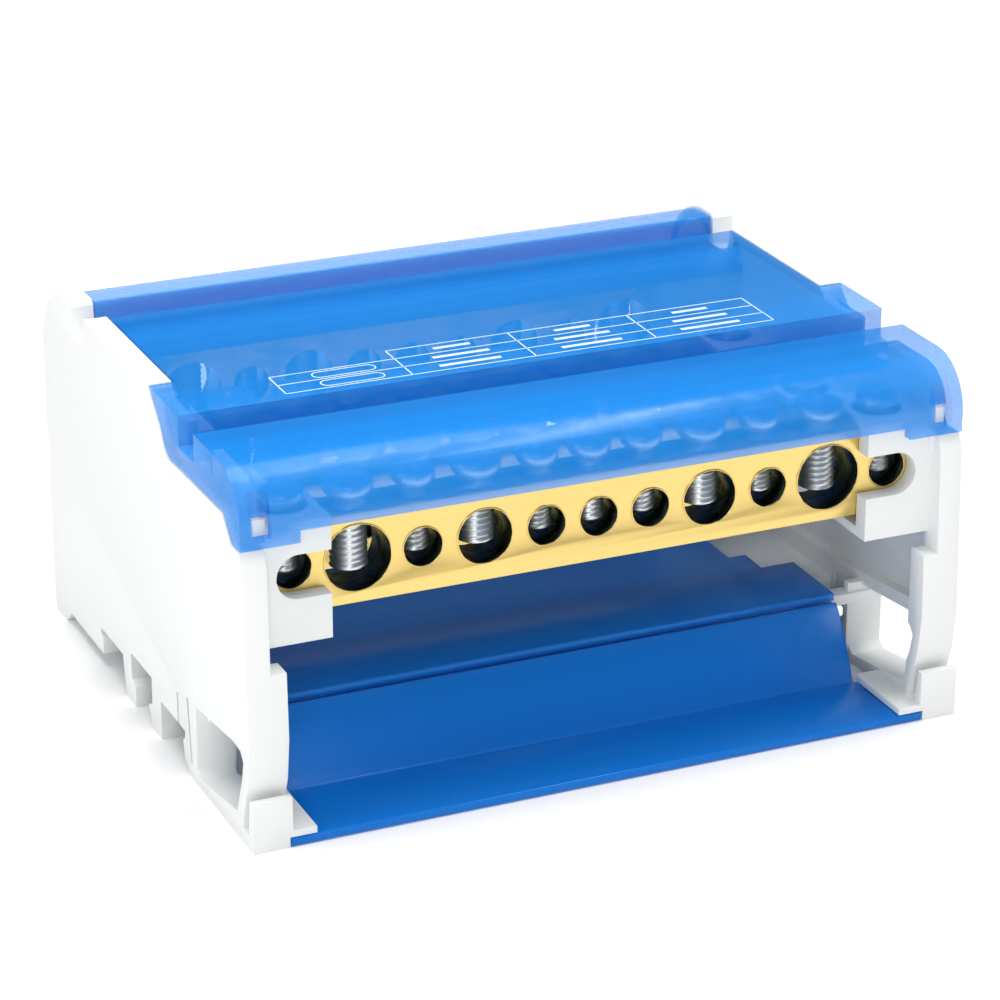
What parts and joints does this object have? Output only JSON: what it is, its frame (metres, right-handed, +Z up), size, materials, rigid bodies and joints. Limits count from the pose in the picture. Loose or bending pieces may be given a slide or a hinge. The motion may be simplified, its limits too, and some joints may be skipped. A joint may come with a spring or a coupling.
{
  "type": "power distribution block",
  "caption": "Rail-mounted power distribution block with grey end plates, tinted hinged covers and drilled brass bars with clamp screws.",
  "frame": {"origin": "centre of the block's footprint on the plane that it stands on", "axes": "+X to the right along the bars, -Y to the front opening, +Z up away from the rail"},
  "size_m": [0.1, 0.082, 0.0504],
  "materials": {
    "grey_plastic": "fine matt moulded, light grey",
    "clear_blue": "transparent blue, polished",
    "tray_blue": "transparent blue sheet, polished",
    "brass": "milled, with fine drawing lines",
    "screw_steel": "zinc plated"
  },
  "bodies": {
    "housing": {"left_side_plate": "grey_plastic", "right_side_plate": "grey_plastic", "hinge_bridge": "tray_blue", "front_tray": "tray_blue", "rear_tray": "tray_blue", "rail_deck": "tray_blue", "front_bar": "brass", "inner_front_bar": "brass", "inner_rear_bar": "brass", "rear_bar": "brass", "front_bar_small_screws": "screw_steel", "front_bar_medium_screws": "screw_steel", "front_bar_large_screws": "screw_steel", "inner_front_bar_small_screws": "screw_steel", "inner_front_bar_medium_screws": "screw_steel", "inner_front_bar_large_screws": "screw_steel", "inner_rear_bar_small_screws": "screw_steel", "inner_rear_bar_medium_screws": "screw_steel", "inner_rear_bar_large_screws": "screw_steel", "rear_bar_small_screws": "screw_steel", "rear_bar_medium_screws": "screw_steel", "rear_bar_large_screws": "screw_steel"},
    "front_cover": {"front_cover": "clear_blue"},
    "rear_cover": {"rear_cover": "clear_blue"}
  },
  "joints": [
    {"name": "front_cover_hinge", "type": "hinge", "parent": "housing", "child": "front_cover", "pos_m": [0, 0.0192, 0.0476], "axis": [-1, 0, 0], "range_deg": [0, 90]},
    {"name": "rear_cover_hinge", "type": "hinge", "parent": "housing", "child": "rear_cover", "pos_m": [0, 0.0288, 0.0476], "axis": [1, 0, 0], "range_deg": [0, 80]}
  ]
}
